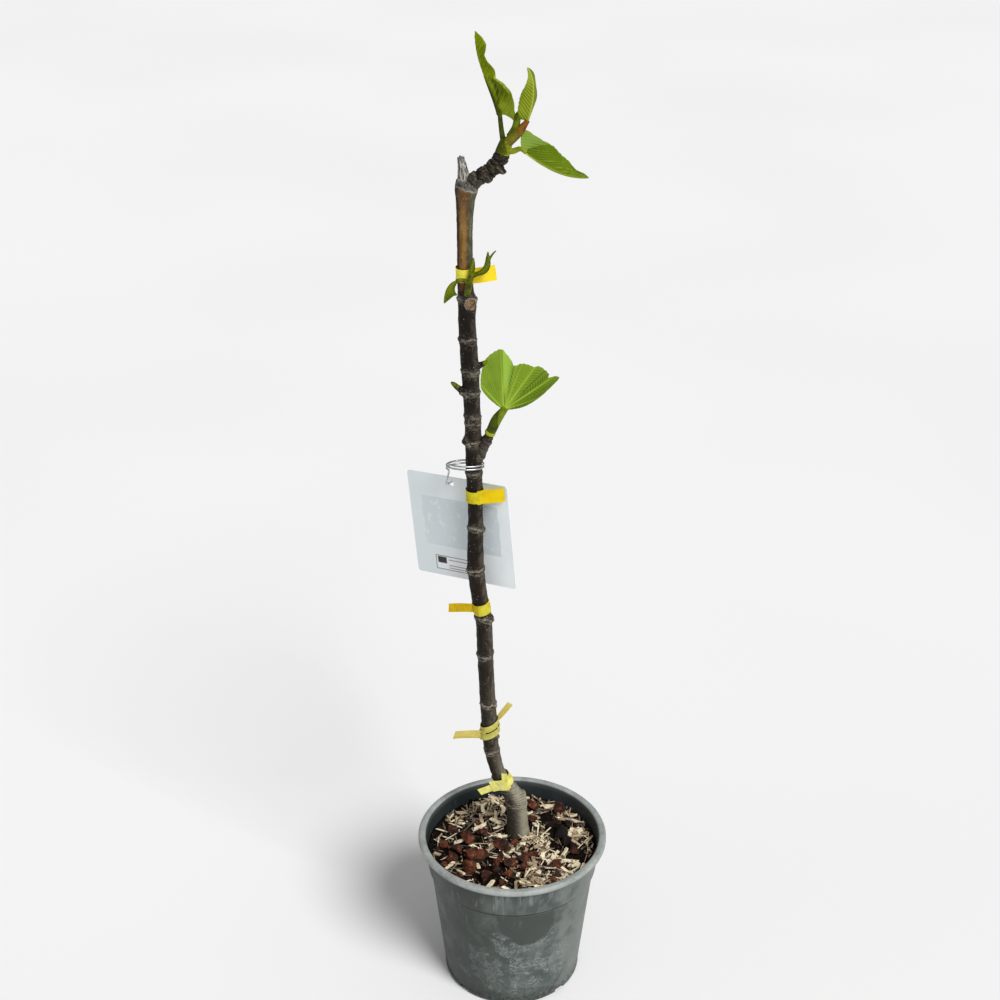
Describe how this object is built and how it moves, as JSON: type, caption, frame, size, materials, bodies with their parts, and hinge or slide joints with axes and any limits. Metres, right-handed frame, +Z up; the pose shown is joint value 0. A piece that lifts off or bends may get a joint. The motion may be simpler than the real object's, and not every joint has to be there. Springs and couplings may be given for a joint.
{
  "type": "potted fig tree",
  "caption": "Young cut-back fig tree with a bare ringed trunk and a few green leafy shoots, tape ties and a blank label card, in a round grey nursery pot filled with bark mulch.",
  "frame": {"origin": "centre of the pot's flat underside", "axes": "+Z up along the plant, -Y towards the front, +X to the right seen from the front"},
  "size_m": [0.1954, 0.1908, 0.9706],
  "materials": {
    "pot_plastic": "grey-green moulded plastic with chalky lime marks",
    "compost_mulch": "dark compost under pale wood chips and red-brown bark chunks",
    "bark": "grey-brown ringed bark with pale pores",
    "leaf": "soft green leaf with pale veins",
    "tape": "thin yellow plant-tie tape",
    "card": "smooth pale card",
    "wire": "bright thin wire"
  },
  "bodies": {
    "root": {"pot": "pot_plastic", "compost": "compost_mulch", "trunk": "bark", "bough_top": "bark", "bough_mid": "bark", "foliage_top": "leaf", "foliage_upper": "leaf", "foliage_mid": "leaf", "tie_1": "tape", "tie_2": "tape", "tie_3": "tape", "tie_4": "tape", "tie_5": "tape", "label_card": "card", "label_wire": "wire"}
  },
  "joints": []
}
